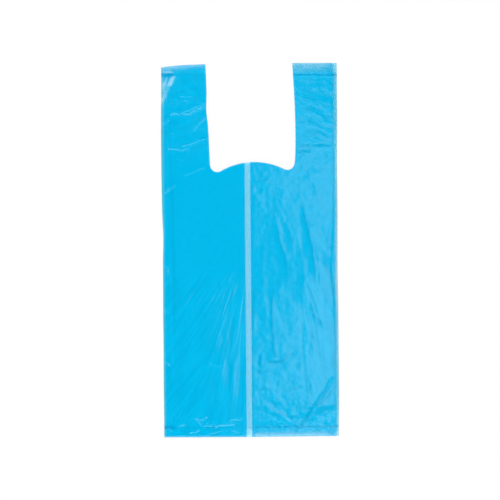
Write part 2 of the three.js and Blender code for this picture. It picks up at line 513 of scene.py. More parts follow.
def new_shape(name):
    """A tree for the shape of a crease, its wires, its fade towards both ends, and the stroke of painted
    shade along it.
    """
    labels = ("Distance", "Side", "Along", "Tip", "Spread")
    inputs = {label: (NUMBER, 0.0) for label in labels}
    tree, given = new_tree(name, inputs, {"Height": NUMBER, "Line": NUMBER})
    fade = (given["Along"] * (1 - given["Along"])).smooth(0.0, END_FADE)
    # The thin line marks where the finish paints shade along a steep crease.
    off_line = given["Distance"] / SHADE_LINE_WIDTH
    steepness = (abs(given["Tip"]) / given["Spread"]).smooth(0.0, SHADE_LINE_SLOPE)
    return tree, given, fade, (0 - off_line * off_line).exp() * steepness * fade


band_shape, given, fade, shade_line = new_shape("band_shape")
away = given["Distance"] / given["Spread"]
band = given["Side"] / given["Spread"] * (0 - away * away).exp()
Wire.node(band_shape, "NodeGroupOutput", sockets={"Height": given["Tip"] * band * fade, "Line": shade_line})

crest_shape, given, fade, shade_line = new_shape("crest_shape")
fall = (0 - given["Side"]).most(0.0) + given["Side"].most(0.0) / CREST_FALL
crest = (0 - fall / given["Spread"]).exp()
Wire.node(crest_shape, "NodeGroupOutput", sockets={"Height": given["Tip"] * crest * fade, "Line": shade_line})
print("nodes of a band and a crest:", len(band_shape.nodes), len(crest_shape.nodes))

# %% [markdown]
# ## Creases placed one by one
#
# These are the broad creases that can be told apart on the real bag, in millimetres from its middle. Each
# has the points that it runs through, how far it tips or lifts the film, and how wide it is.
#
# The order of the points matters. A band is drawn downwards or to the left: a positive tip then turns it
# away from the light, so it is dark, and a negative one makes it bright. A crest that is drawn downwards
# is steep and dark on its left. One that is drawn upwards is steep and bright on its right.

# %% Tipped bands of film
BANDS = [
    # Left handle and the long side of the bag
    ([(-78, 110), (-77, -10), (-76, -95)], -0.17, 1.6),
    # Fan below the middle, on the left
    ([(-10, -15), (-22, -32)], -0.15, 4.0),
    ([(-24, -33), (-37, -56)], -0.15, 2.8),
    ([(-10, -32), (-28, -62)], -0.22, 2.8),
    ([(-53, -35), (-68, -58)], -0.18, 1.8),
    ([(-29, -85), (-34, -102)], -0.36, 3.6),
    ([(-26, -105), (-29, -127)], -0.36, 4.4),
    ([(-14, -102), (-16, -153)], -0.34, 5.0),
    ([(-20, -108), (-21, -147)], 0.25, 2.5),
    ([(-22, -78), (-25, -100)], -0.28, 3.0),
    ([(-39, -128), (-40, -150)], -0.32, 3.2),
    # Right handle
    ([(87, 148), (73, 151), (56, 154)], 0.22, 4.0),
    ([(84, 130), (68, 138), (56, 144)], 0.20, 2.6),
    ([(80, 119), (66, 126), (54, 131)], 0.20, 2.4),
    ([(86, 111), (70, 117), (56, 119)], 0.20, 2.4),
    ([(88, 104), (46, 104)], 0.28, 1.8),
    ([(63, 98), (47, 99)], 0.28, 2.0),
    # Right of the mouth
    ([(14, 84), (2, 85)], 0.15, 2.5),
    ([(21, 73), (13, 69), (5, 69)], 0.30, 2.5),
    ([(12, 56), (5, 57)], 0.40, 4.0),
    # Above the base, on the right
    ([(44, -101), (32, -112), (14, -113)], -0.50, 1.9),
    ([(10, -103), (9, -119)], 0.30, 2.0),
    ([(16, -120), (10, -122), (3, -121)], -0.24, 2.6),
    ([(21, -142), (13, -139), (4, -140)], -0.24, 2.6),
    ([(10, -152), (26, -161), (40, -170)], -0.48, 3.8),
    ([(53, -136), (39, -142)], -0.22, 2.2),
    ([(82, -154), (62, -165), (52, -173), (44, -184)], -0.28, 3.0),
    ([(90, -154), (72, -163), (46, -170)], -0.72, 7.0),
    ([(83, -129), (63, -158), (46, -183)], 0.22, 1.7),
    ([(86, -135), (72, -151), (62, -161)], 0.28, 1.8),
    ([(66, -154), (52, -172), (40, -189)], 0.25, 1.8),
    ([(48, -167), (36, -168)], -0.40, 2.5),
]
print(len(BANDS), "bands")

# %% Crests
CRESTS = [
    # Long streaks down the right of the body
    ([(57, -118), (59, -140), (55, -162)], 0.30, 7.0),
    ([(3, -190), (3, -150), (3, -105)], 0.34, 12.0),
    ([(51, 60), (55, 34), (59, 18), (62, 3), (65, -17), (64, -38)], 0.48, 3.6),
    ([(56, 34), (60, 16), (63, 3), (66, -17), (66, -40)], 0.65, 6.0),
    ([(50, 6), (54, -24), (52, -60)], 0.45, 8.0),
    ([(24, 44), (28, 22), (30, 8), (34, -6), (37, -20), (37, -44)], 0.42, 3.8),
    ([(35, 32), (39, 20), (42, 8), (43, -8)], 0.26, 4.0),
    ([(12, 10), (13, -44)], 0.25, 5.0),
    ([(15, -36), (15, -80)], 0.22, 5.0),
    ([(82, 16), (82, -8)], 0.20, 2.0),
    ([(78, -12), (81, -29), (85, -49), (87, -62)], 0.45, 2.5),
    ([(71, -9), (76, -20), (80, -29)], 0.22, 2.0),
    ([(60, -56), (64, -65), (76, -79)], 0.28, 2.0),
    ([(60, -38), (63, -63)], 0.18, 2.0),
    ([(23, -33), (21, -61), (23, -95), (27, -112)], 0.20, 1.5),
    ([(5, -36), (2, -54), (1, -90)], 0.25, 2.5),
    ([(54, 76), (64, 66), (71, 51)], 0.20, 5.0),
    ([(59, -79), (64, -103)], 0.20, 2.0),
    ([(83, -101), (84, -119)], 0.28, 2.0),
    ([(48, -111), (50, -123)], 0.20, 2.0),
    # Light side of the fan, on the left
    ([(-29, -142), (-27, -84)], 0.48, 9.0),
]
print(len(CRESTS), "crests")


# %% All creases together
def draw_creases(tree, place):
    """Height of all creases, and the thin lines of painted shade along them: a chain of runs for each,
    then its shape.
    """
    height = None
    shade_line = None
    bands = [(*band, band_shape) for band in BANDS]
    crests = [(*crest, crest_shape) for crest in CRESTS]
    for points, tip, spread, shape in bands + crests:
        found = {}
        runs = len(points) - 1
        for number, (start, end) in enumerate(zip(points, points[1:])):
            ends = {"Place": place, "Start": (*start, 0), "End": (*end, 0)}
            shares = {"Before": number / runs, "Share": 1 / runs}
            sockets = {**ends, **shares, **found}
            one = Wire.node(tree, "GeometryNodeGroup", {"node_tree": nearest_run}, sockets)
            found = {label: one.twin(label) for label in ("Distance", "Side", "Along")}
        sockets = {**found, "Tip": tip, "Spread": spread}
        one = Wire.node(tree, "GeometryNodeGroup", {"node_tree": shape}, sockets)
        height = one if height is None else height + one
        shade_line = one.twin("Line") if shade_line is None else shade_line.most(one.twin("Line"))
    return height, shade_line


print(len(BANDS) + len(CRESTS), "creases to draw")

# %% [markdown]
# ## The tree of folds and wrinkles
#
# So far every layer lies in one plane. One tree lifts each point to its layer, presses the stack together
# at the welds, bows the front panel over the trapped air, and draws the wrinkles. Its heights are named
# inputs, so that each can be tried by itself in the modifier. Film wrinkles run in families, and each
# family is a noise that is stretched along its own direction.

# %% Inputs of the tree
wrinkle_tree, given = new_tree(
    "folds_and_wrinkles",
    {
        "Geometry": ("NodeSocketGeometry", None),
        "Layer pitch": (NUMBER, LAYER_PITCH),
        "Front bow": (NUMBER, 0.5),
        "Ridge at the stripe": (NUMBER, 1.4),
        "Weld press": (NUMBER, 0.8),
        "Left draw": (NUMBER, 0.5),
        "Right reach": (NUMBER, 0.35),
        "Wobble": (NUMBER, 0.8),
        "Wander": (NUMBER, 4.5),
        "Fan height": (NUMBER, 0.55),
        "Streak height": (NUMBER, 0.45),
        "Far streak height": (NUMBER, 0.6),
        "Mottle height": (NUMBER, 0.42),
        "Ripple height": (NUMBER, 0.45),
        "Swell height": (NUMBER, 2.0),
        "Crumple height": (NUMBER, 0.8),
        "Seed": (NUMBER, 7.0),
        "Finish": ("NodeSocketMaterial", None),
    },
    {"Geometry": "NodeSocketGeometry"},
)
seed = given["Seed"]
print(f"wrinkle tree: {len(given)} inputs")

# %% Noise, angles and distances
TOP_SKIRT = 11.6
BASE_SKIRT = 9.8
WELD_TILT = 0.0064


def stretched_noise(u, v, seed, detail):
    """Smooth noise from -0.5 to 0.5 over two lengths, each measured in wrinkles."""
    spot = Wire.node(u.tree, "ShaderNodeCombineXYZ", sockets={0: u, 1: v, 2: seed})
    sockets = {"Vector": spot, "Scale": 1.0, "Detail": detail}
    return Wire.node(u.tree, "ShaderNodeTexNoise", sockets=sockets) - 0.5


def polar(x, y, centre):
    """Angle from straight down and distance, about a centre."""
    across = x - centre[0]
    down = centre[1] - y
    return across.maths("ARCTAN2", across, down), (across * across + down * down).sqrt()


def above_top_weld(x, y):
    """Height above the weld of the handles, which lies slightly askew."""
    return y + WELD_TILT * x - (HALF_LENGTH - TOP_SKIRT)


def weld_distance(x, y):
    """Distance to the nearer one of the two weld lines."""
    return abs(above_top_weld(x, y)).least(abs(y + HALF_LENGTH - BASE_SKIRT))


print(f"welds {TOP_SKIRT} mm below the top and {BASE_SKIRT} mm above the base")

# %% Where a point lies on the bag
FRONT_LEVELS = (2.6, 3.0)
LEFT_OF_STRIPE = (-8.0, -3.0)
RIGHT_OF_STRIPE = (1.0, 4.0)
HANDLES_START = (85.0, 105.0)
WELD_WIDTH = 1.5
WELD_FADE = 32.0
SIDE_FADE = 4.0
CREASE_END = 3.0

position = Wire.node(wrinkle_tree, "GeometryNodeInputPosition")
x = Wire.node(wrinkle_tree, "ShaderNodeSeparateXYZ", sockets={0: position.scaled(1 / MM)})
y = x.twin(1)
above_base = y + HALF_LENGTH
settings = {"data_type": "FLOAT"}
level = Wire.node(wrinkle_tree, "GeometryNodeInputNamedAttribute", settings, {"Name": "level"})
front = level.smooth(*FRONT_LEVELS)
on_left = 1 - x.smooth(*LEFT_OF_STRIPE)
on_right = x.smooth(*RIGHT_OF_STRIPE)
on_handle = y.smooth(*HANDLES_START)

from_weld = weld_distance(x, y)
press = from_weld.smooth(WELD_WIDTH / 2, WELD_FADE).blend(given["Weld press"], 1.0)
side_fade = (HALF_WIDTH - FRONT_INSET - abs(x)).smooth(0.0, SIDE_FADE)
weld_fade = from_weld.smooth(0.0, CREASE_END)
print(f"handles start at {HANDLES_START} mm, wrinkles end {SIDE_FADE} mm from the sides")

# %% [markdown]
# ## Families of wrinkles
#
# On the left the wrinkles fan out downwards from the middle. On the right they are long streaks that lean
# to the right, with a mottle between them. The handles are rippled aslant, most of all the right one, and
# the film near the base is crumpled. A noise taken without its sign has sharp furrows and round tops, as
# film has.

# %% Fan and streaks
WRINKLES = {
    # Pitch across and along, number for the seed, and detail of the noise
    "fan": (0.06, 70.0, 0, 0.0),
    "streak": (0.045, 45.0, 2, 0.0),
    "ripple": (6.0, 16.0, 4, 0.0),
    "crumple": (9.0, 7.0, 5, 1.0),
    "mottle": (13.0, 16.0, 7, 1.0),
    "wobble": (40.0, 60.0, 8, 0.0),
    "wander_x": (14.0, 14.0, 9, 1.0),
    "wander_y": (14.0, 14.0, 10, 1.0),
    "wedge": (5.0, 14.0, 11, 1.0),
    "corner": (4.0, 3.0, 12, 1.0),
    "far_streak": (6.0, 24.0, 13, 1.0),
}
FAN_CENTRE = (3.0, 20.0)
FAN_REACH = (15.0, 80.0)
FAN_TOP = (-60.0, 0.0)
FAN_SIDE = (-75.0, -25.0)
FAN_SIDE_SHARE = 0.3
STREAK_CENTRE = (-22.0, 251.0)
CALM_HEIGHTS = (-120.0, -40.0)
CALM_SHARE = 0.4
FAR_LEAN = 0.12
FAR_SIDE = (45.0, 65.0)


def wrinkle(name, u, v):
    """Noise of one family of wrinkles in the mesh."""
    across, along, number, detail = WRINKLES[name]
    return stretched_noise(u / across, v / along, seed + number, detail)


fan_angle, fan_reach = polar(x, y, FAN_CENTRE)
fan_side = x.smooth(*FAN_SIDE).blend(FAN_SIDE_SHARE, 1.0)
fan_mask = on_left * (1 - y.smooth(*FAN_TOP)) * fan_side * fan_reach.smooth(*FAN_REACH)
fan_height = wrinkle("fan", fan_angle, fan_reach) * fan_mask * given["Fan height"]

calm = (1 - on_handle) * y.smooth(*CALM_HEIGHTS).blend(CALM_SHARE, 1.0)
streak = abs(wrinkle("streak", *polar(x, y, STREAK_CENTRE)))
streak_height = streak * on_right * calm * given["Streak height"]
far_streak = abs(wrinkle("far_streak", x + y * FAR_LEAN, y))
far_height = far_streak * x.smooth(*FAR_SIDE) * (1 - on_handle) * given["Far streak height"]
mottle_height = wrinkle("mottle", x, y) * on_right * given["Mottle height"]
wrinkles = fan_height + streak_height + far_height + mottle_height
print(f"fan about {FAN_CENTRE}, streaks about {STREAK_CENTRE}")

# %% Ripples and crumples
RIPPLE_TURN = (0.86, 0.5)
RIPPLE_SIDE = (46.0, 60.0)
RIPPLE_SIDE_SHARE = 0.3
CRUMPLE_HEIGHTS = (12.0, 60.0)
CRUMPLE_LEFT_SHARE = 0.5

ripple_across = y * RIPPLE_TURN[0] + x * RIPPLE_TURN[1]
ripple_along = x * RIPPLE_TURN[0] - y * RIPPLE_TURN[1]
ripple_side = x.smooth(*RIPPLE_SIDE).blend(RIPPLE_SIDE_SHARE, 1.0)
ripple = abs(wrinkle("ripple", ripple_across, ripple_along))
ripple_height = ripple * on_handle * ripple_side * given["Ripple height"]

near_base = 1 - above_base.smooth(*CRUMPLE_HEIGHTS)
crumple = abs(wrinkle("crumple", x, y))
crumple_height = crumple * near_base * on_right.blend(CRUMPLE_LEFT_SHARE, 1.0) * given["Crumple height"]
wrinkles = wrinkles + ripple_height + crumple_height
print(f"crumples up to {CRUMPLE_HEIGHTS[1]} mm above the base")

# %% [markdown]
# ## One broad swell, and the creases
#
# To the right of the middle the film stands up in one broad swell. Its left slope is long and turned away
# from the light, so it is darker. Its right one is short. The creases placed by eye are drawn over it,
# and a slow noise makes them wander, because no crease is quite straight.

# %% Swell and creases
SWELL_CENTRE = (66.0, -18.0)
SWELL_REACH_LEFT = 45.0
SWELL_REACH_RIGHT = 22.0
SWELL_REACH_DOWN = 50.0

from_swell = x - SWELL_CENTRE[0]
swell_x = from_swell.least(0.0) / SWELL_REACH_LEFT + from_swell.most(0.0) / SWELL_REACH_RIGHT
swell_y = (y - SWELL_CENTRE[1]) / SWELL_REACH_DOWN
swell = given["Swell height"] * (0 - swell_x * swell_x - swell_y * swell_y).exp()

wander_x = x + given["Wander"] * wrinkle("wander_x", x, y)
wander_y = y + given["Wander"] * wrinkle("wander_y", x, y)
spot = Wire.node(wrinkle_tree, "ShaderNodeCombineXYZ", sockets={0: wander_x, 1: wander_y})
creases, crease_shade_line = draw_creases(wrinkle_tree, spot)
wrinkles = wrinkles + swell + creases
print(f"wrinkle tree: {len(wrinkle_tree.nodes)} nodes with the creases")

# %% [markdown]
# ## Folded place of each point
#
# Each layer lies one pitch above the next, and less where a weld presses them. The front panel is bowed,
# with a low ridge along the stripe. The sides of the bag aren't straight either: where the film was
# pulled, they are drawn in or let out a little.

# %% Fold the film
LEFT_DRAW_TOP = (-20.0, 80.0)
SIDE_PULLS = [
    # Height on the bag, reach along the side, and how far in it is drawn: first the left side
    [(100.0, 32.0, -0.65), (14.0, 18.0, 0.7)],
    [(165.0, 60.0, -0.6), (-22.0, 26.0, 0.6), (-115.0, 40.0, -0.35), (-187.0, 22.0, 0.5)],
]

across = x / HALF_WIDTH
bow = given["Front bow"] * (1 - across * across)
bow = bow - given["Ridge at the stripe"] * abs(x - GUSSET_GAP_CENTRE) / HALF_WIDTH
raised = given["Ridge at the stripe"] + bow
z = FILM_LEVEL + level * given["Layer pitch"] * press
z = z + front * (raised * press + wrinkles * side_fade * weld_fade)

left_draw = given["Left draw"] * on_left * (1 - y.smooth(*LEFT_DRAW_TOP))
drawn = given["Wobble"] * wrinkle("wobble", y, x) + left_draw - given["Right reach"] * on_right
for side, pulls in zip((on_left, on_right), SIDE_PULLS):
    for pull_place, pull_reach, pull in pulls:
        from_pull = (y - pull_place) / pull_reach
        drawn = drawn + side * pull * (0 - from_pull * from_pull).exp()
drawn_in = x - across * across * across * drawn
folded = Wire.node(wrinkle_tree, "ShaderNodeCombineXYZ", sockets={0: drawn_in, 1: y, 2: z})
folded = folded.scaled(MM)
print(f"wrinkle tree: {len(wrinkle_tree.nodes)} nodes with the folds")

# %% [markdown]
# ## How much of the light the film stops
#
# One layer of film lets much of the white table show through. Four layers hide it. The two gussets stop
# short of each other, so a pale stripe with only two layers runs down the middle. The loose skirts and
# one crumpled corner are paler too, because air lies between their layers. The same tree stores this as
# an attribute called cover, which the finish reads.

# %% Paler skirts
SKIRT_START = (0.5, 2.0)
SKIRT_SIDE = (HALF_WIDTH - 1.0, HALF_WIDTH - 4.0)
SKIRT_SIDE_SHARE = 0.5
RIGHT_SKIRT_RISE = (1.0, 11.0)
RIGHT_SKIRT_THIN = (0.14, 0.48)
BASE_SKIRT_RISE = (1.0, 8.0)
BASE_SKIRT_THIN = 0.55
BASE_EDGE_RISE = (0.5, 2.0)
BASE_EDGE_THIN = 0.42
LEFT_RIM_RISE = (-5.5, -1.0)
LEFT_RIM_THIN = (0.05, 0.45)

over_weld = above_top_weld(x, y)
top_skirt = over_weld.smooth(*SKIRT_START)
skirt_side = on_right * x.smooth(*SKIRT_SIDE).blend(SKIRT_SIDE_SHARE, 1.0)
right_skirt = top_skirt * skirt_side * over_weld.smooth(*RIGHT_SKIRT_RISE).blend(*RIGHT_SKIRT_THIN)
base_skirt = BASE_SKIRT_THIN * (1 - above_base.smooth(*BASE_SKIRT_RISE)) * skirt_side
base_edge = BASE_EDGE_THIN * (1 - above_base.smooth(*BASE_EDGE_RISE)) * on_left
left_drop = x.smooth(TOP_BENDS[2], TOP_BENDS[0]).blend(TOP_DROPS[2], TOP_DROPS[0])
left_rim = (y + left_drop - HALF_LENGTH).smooth(*LEFT_RIM_RISE).blend(*LEFT_RIM_THIN)
left_rim = left_rim * top_skirt * on_left
print(f"skirts lose up to {max(BASE_SKIRT_THIN, *RIGHT_SKIRT_THIN)} of their cover")

# %% Pale corner of the left handle
WEDGE_FOOT = (-86.3, 146.5)
WEDGE_LEAN = 0.475
WEDGE_EDGE = (-1.0, 1.0)
WEDGE_RISE = (140.0, 150.0)
WEDGE_TOP = (-2.0, 0.0)
WEDGE_BAND = (3.0, 6.5)
WEDGE_BAND_THIN = 0.6
WEDGE_GRAIN = (0.9, 0.43)
WEDGE_STREAKS = (-0.12, 0.12)
WEDGE_STREAK_THIN = (0.2, 0.6)
CORNER_SIDE = (-80.0, -70.0)
CORNER_SPOTS = (-0.15, 0.1)
CORNER_THIN = (0.25, 0.62)

wedge_line = (y - WEDGE_FOOT[1]) * WEDGE_LEAN + WEDGE_FOOT[0] - x
wedge_streak = wrinkle("wedge", x * WEDGE_GRAIN[0] - y * WEDGE_GRAIN[1], y).smooth(*WEDGE_STREAKS)
wedge_streak = wedge_streak.blend(*WEDGE_STREAK_THIN)
wedge_pale = (1 - wedge_line.smooth(*WEDGE_BAND)).blend(wedge_streak, WEDGE_BAND_THIN)
wedge = wedge_line.smooth(*WEDGE_EDGE) * y.smooth(*WEDGE_RISE) * wedge_pale
wedge = wedge * (1 - over_weld.smooth(*WEDGE_TOP))
corner_spots = wrinkle("corner", x, y).smooth(*CORNER_SPOTS)
corner = top_skirt * (1 - x.smooth(*CORNER_SIDE)) * corner_spots.blend(*CORNER_THIN)
print(f"pale corner from {WEDGE_RISE[0]} mm up")

# %% [markdown]
# ## Cover of the stack
#
# Where the film is loose, the front layer stops the light for the whole stack, and the layers under it
# are left clear. It looks the same, and the picture is less grainy than with light that finds its way
# through eight faces. Along the right side the layers keep their own cover, because the front panel ends
# before they do.

# %% Cover of the film
STACK_COVER = 0.985
UNDER_COVER = 0.55
GAP_COVER = 0.53
GAP_SOFTNESS = 1.2
LOOSE_START = 0.05
LOOSE_SIDE = (HALF_WIDTH - 2.0, HALF_WIDTH - 4.0)

gap_edge = abs(x - GUSSET_GAP_CENTRE)
in_gap = 1 - gap_edge.smooth(GUSSET_GAP / 2 - GAP_SOFTNESS, GUSSET_GAP / 2 + GAP_SOFTNESS)
thin = right_skirt.most(base_skirt).most(base_edge).most(wedge).most(corner).most(left_rim)
kept = 1 - thin
loose = thin.smooth(0.0, LOOSE_START) * x.smooth(*LOOSE_SIDE)
bare = 1 - UNDER_COVER * kept
let_through = (1 - STACK_COVER * kept) * bare * bare * bare
under = UNDER_COVER * kept * (1 - loose)
stacked = front.blend(under, loose.blend(STACK_COVER * kept, 1 - let_through))
cover = in_gap.blend(stacked, GAP_COVER * kept)
print(f"the stack stops {STACK_COVER} of the light, the stripe {GAP_COVER} in each layer")

# %% End of the tree
stored = Wire.node(
    wrinkle_tree, "GeometryNodeSetPosition", sockets={"Geometry": given["Geometry"], "Position": folded}
)
# The line along the creases is stored for the finish, which paints shade there.
for name, value in {"cover": cover, "crease_shade_line": crease_shade_line * front}.items():
    settings = {"data_type": "FLOAT", "domain": "POINT"}
    sockets = {"Geometry": stored, "Name": name, "Value": value}
    stored = Wire.node(wrinkle_tree, "GeometryNodeStoreNamedAttribute", settings, sockets)
realized = Wire.node(wrinkle_tree, "GeometryNodeRealizeInstances", sockets={"Geometry": stored})
sockets = {"Geometry": realized, "Material": given["Finish"]}
finished = Wire.node(wrinkle_tree, "GeometryNodeSetMaterial", sockets=sockets)
Wire.node(wrinkle_tree, "NodeGroupOutput", sockets={"Geometry": finished})
print(f"wrinkle tree: {len(wrinkle_tree.nodes)} nodes")

# %% [markdown]
# ## Blue film finish
#
# The film is a clear blue plastic with a soft sheen. Its colour is deepest where four layers lie. Where
# one or two lie, it is painted lighter, for the light that comes back up through them from the white
# table.
#
# The finest wrinkles are too small for the mesh, so they are a bump in the finish. They run along the
# same fans as the larger ones. Painted shade makes film that stands up a little paler, and the furrows a
# little deeper.

# %% Fine wrinkles along the fans
FINE_WRINKLES = {
    # Pitch across and along, seed, and detail of the noise
    "strands": (0.03, 45.0, 21.0, 1.0),
    "slanted": (4.0, 35.0, 22.0, 1.0),
    "edge_strands": (0.05, 40.0, 23.0, 1.0),
    "grain": (5.0, 6.0, 24.0, 1.0),
    "side_lines": (3.0, 50.0, 25.0, 0.0),
    "handle_lines": (14.0, 5.0, 26.0, 1.0),
    "wander": (5.5, 5.5, 27.0, 1.0),
    "crumple": (8.0, 5.0, 28.0, 1.0),
    "patches": (12.0, 9.0, 29.0, 0.0),
    "mottle": (7.0, 5.0, 30.0, 1.0),
    "broken": (2.5, 2.5, 31.0, 1.0),
}
LOW_FILM = (-50.0, 0.0)
STRAND_HEIGHT = 0.5
STRAND_SIDE = (-60.0, -35.0)
SLANT = math.radians(35)
SLANT_HEIGHT = 0.55
SLANT_ELSEWHERE = 0.08
EDGE_FAN_CENTRE = (45.0, 5.0)
EDGE_FAN_REACH = (15.0, 50.0)
EDGE_FAN_SIDE = (40.0, 60.0)
EDGE_FAN_HEIGHT = 0.3

film_finish = bpy.data.materials.new("blue_film")
film_finish.use_nodes = True
nodes = film_finish.node_tree
film_place = Wire.node(nodes, "ShaderNodeTexCoord", output="Object")
film_x = Wire.node(nodes, "ShaderNodeSeparateXYZ", sockets={0: film_place.scaled(1 / MM)})
film_y = film_x.twin(1)
left_film = 1 - film_x.smooth(*LEFT_OF_STRIPE)
right_film = film_x.smooth(*RIGHT_OF_STRIPE)
low_film = 1 - film_y.smooth(*LOW_FILM)


def fine_wrinkle(name, u, v):
    """Noise of one family of wrinkles in the finish."""
    across, along, number, detail = FINE_WRINKLES[name]
    return stretched_noise(u / across, v / along, number, detail)


angle, reach = polar(film_x, film_y, FAN_CENTRE)
by_stripe = film_x.smooth(*STRAND_SIDE)
strands = fine_wrinkle("strands", angle, reach) * left_film * reach.smooth(*FAN_REACH)
strands = strands * by_stripe * STRAND_HEIGHT * low_film
over = film_x * math.cos(SLANT) - film_y * math.sin(SLANT)
down = film_x * math.sin(SLANT) + film_y * math.cos(SLANT)
slant_place = (low_film * (1 - by_stripe)).blend(SLANT_ELSEWHERE, 1.0)
slanted = fine_wrinkle("slanted", over, down) * left_film * slant_place * SLANT_HEIGHT
angle, reach = polar(film_x, film_y, EDGE_FAN_CENTRE)
edge_strands = fine_wrinkle("edge_strands", angle, reach) * film_x.smooth(*EDGE_FAN_SIDE)
edge_strands = edge_strands * low_film * reach.smooth(*EDGE_FAN_REACH) * EDGE_FAN_HEIGHT
fine_height = strands + slanted + edge_strands
print(f"fine wrinkles: {len(nodes.nodes)} nodes for the fans")

# %% Fine wrinkles of the sides, the handles and the base
SIDE_STRIP = (-80.0, -70.0)
SIDE_HEIGHT = 0.22
HANDLE_LINES_START = (92.0, 104.0)
HANDLE_SLOPE = 0.35
HANDLE_HEIGHT = 0.2
HANDLED_START = (80.0, 110.0)
MOTTLE_HEIGHT = 0.22
BASE_FILM = (10.0, 32.0)
BASE_HEIGHT = 0.6
GRAIN_HEIGHT = 0.18
GRAIN_LEFT_SHARE = 0.3
GRAIN_CLEARANCE = 2.0

side_lines = fine_wrinkle("side_lines", film_x, film_y) * (1 - film_x.smooth(*SIDE_STRIP)) * SIDE_HEIGHT
handle_lines = fine_wrinkle("handle_lines", film_x, film_y + HANDLE_SLOPE * abs(film_x))
handle_lines = handle_lines * film_y.smooth(*HANDLE_LINES_START) * HANDLE_HEIGHT
handled = left_film * film_y.smooth(*HANDLED_START)
mottle = fine_wrinkle("mottle", film_x, film_y) * handled * MOTTLE_HEIGHT
base_film = 1 - (film_y + HALF_LENGTH).smooth(*BASE_FILM)
base_crumple = abs(fine_wrinkle("crumple", film_x, film_y)) * base_film * BASE_HEIGHT
off_stripe = abs(film_x - GUSSET_GAP_CENTRE).smooth(GUSSET_GAP / 2, GUSSET_GAP / 2 + GRAIN_CLEARANCE)
grain = fine_wrinkle("grain", film_x, film_y) * right_film.blend(GRAIN_LEFT_SHARE, 1.0)
grain = grain * off_stripe * GRAIN_HEIGHT
fine_height = fine_height + side_lines + handle_lines + mottle + base_crumple + grain
print(f"fine wrinkles: {len(nodes.nodes)} nodes")

# %% [markdown]
# ## Sharp creases
#
# A few creases are so thin and sharp that they glint as bright lines. Each is a low ridge in the bump,
# with the points that it runs through, its height and its half width. A Mapping node turns the film's
# coordinates into the crease's own: one along the run, and one across it. The third carries the height so
# far, which links the creases in one chain. Side by side, so many of them wouldn't fit into the
# renderer's memory for one finish.

# %% Places of the sharp creases
SHARP_CREASES = [
    # Left handle
    ([(-75, 136), (-60, 136), (-57, 138), (-48, 142), (-44, 145)], 0.42, 2.0),
    ([(-67, 138), (-59, 140), (-54, 143), (-45, 146)], 0.28, 1.4),
    ([(-79, 136), (-60, 136)], 0.50, 1.8),
    ([(-44, 132), (-48, 129), (-52, 125), (-56, 119)], 0.32, 1.7),
    ([(-42, 112), (-51, 109), (-62, 105), (-67, 104)], 0.28, 1.6),
    ([(-82, 101), (-75, 101), (-65, 100), (-60, 101)], 0.36, 1.6),
    ([(-81, 131), (-88, 125)], 0.30, 1.7),
    ([(-69, 154), (-56, 153)], 0.20, 1.5),
    ([(-66, 150), (-62, 149)], 0.20, 1.5),
    ([(-80, 117), (-76, 116)], 0.18, 1.5),
    ([(-72, 91), (-67, 89)], 0.18, 1.5),
    # Left of the body
    ([(-45, 83), (-55, 79), (-66, 74)], 0.28, 1.6),
    ([(-74, 65), (-80, 62), (-84, 58)], 0.40, 1.8),
    ([(-58, 11), (-52, 14)], 0.14, 1.3),
    ([(-41, -17), (-58, -42), (-75, -70)], 0.09, 1.4),
    ([(-44, -38), (-62, -66)], 0.08, 1.4),
    ([(-42, -114), (-36, -116), (-30, -117)], 0.24, 1.6),
    ([(-87, -15), (-82, -18), (-83, -26)], 0.30, 1.6),
    ([(-86, -111), (-81, -116)], 0.28, 1.5),
    ([(-87, -58), (-83, -64)], 0.22, 1.4),
    # Base
    ([(-56, -168), (-51, -170), (-45, -168)], 0.34, 1.6),
    ([(-55, -170), (-50, -174)], 0.32, 1.5),
    ([(-48, -176), (-38, -175)], 0.32, 1.5),
    ([(-36, -176), (-24, -175), (-18, -174)], 0.46, 1.8),
    ([(-23, -171), (-17, -176)], 0.40, 1.7),
    ([(-21, -170), (-9, -169)], 0.34, 1.8),
    ([(-73, -176), (-67, -175)], 0.32, 1.6),
    ([(-84, -178), (-79, -181)], 0.32, 1.6),
    ([(-62, -183), (-52, -181)], 0.30, 1.6),
    ([(-42, -184), (-30, -181)], 0.30, 1.6),
    ([(-20, -181), (-12, -183)], 0.30, 1.6),
    # Right of the bag
    ([(49, 174), (86, 173)], 0.10, 1.2),
    ([(84, -127), (74, -142), (62, -160)], 0.60, 3.0),
]
print(len(SHARP_CREASES), "sharp creases")

# %% Sharp creases in the bump
SHARP_WANDER = 3.2
RUN_ENDS = (1.15, 0.8)
BROKEN_NOISE = (-0.3, 0.2)
BROKEN_SHARES = (0.25, 1.15)

wander = SHARP_WANDER * fine_wrinkle("wander", film_x, film_y)
bent_x = film_x + wander
bent_y = film_y + wander
sharp_height = 0.0
for points, rise, half_width in SHARP_CREASES:
    for (x0, y0), (x1, y1) in zip(points, points[1:]):
        half_run = math.hypot(x1 - x0, y1 - y0) / 2
        spot = Wire.node(nodes, "ShaderNodeCombineXYZ", sockets={0: bent_x, 1: bent_y, 2: sharp_height})
        sockets = {
            "Vector": spot,
            "Location": ((x0 + x1) / 2, (y0 + y1) / 2, 0),
            "Rotation": (0, 0, math.atan2(y1 - y0, x1 - x0)),
            "Scale": (half_run, half_width, 1),
        }
        own = Wire.node(nodes, "ShaderNodeMapping", {"vector_type": "TEXTURE"}, sockets)
        run = Wire.node(nodes, "ShaderNodeSeparateXYZ", sockets={0: own})
        ridge = rise * abs(run).smooth(*RUN_ENDS) * abs(run.twin(1)).smooth(1.0, 0.0)
        sharp_height = run.twin(2).most(ridge)
broken = fine_wrinkle("broken", film_x, film_y).smooth(*BROKEN_NOISE)
fine_height = fine_height + sharp_height * broken.blend(*BROKEN_SHARES)
print(f"film finish: {len(nodes.nodes)} nodes with the creases")
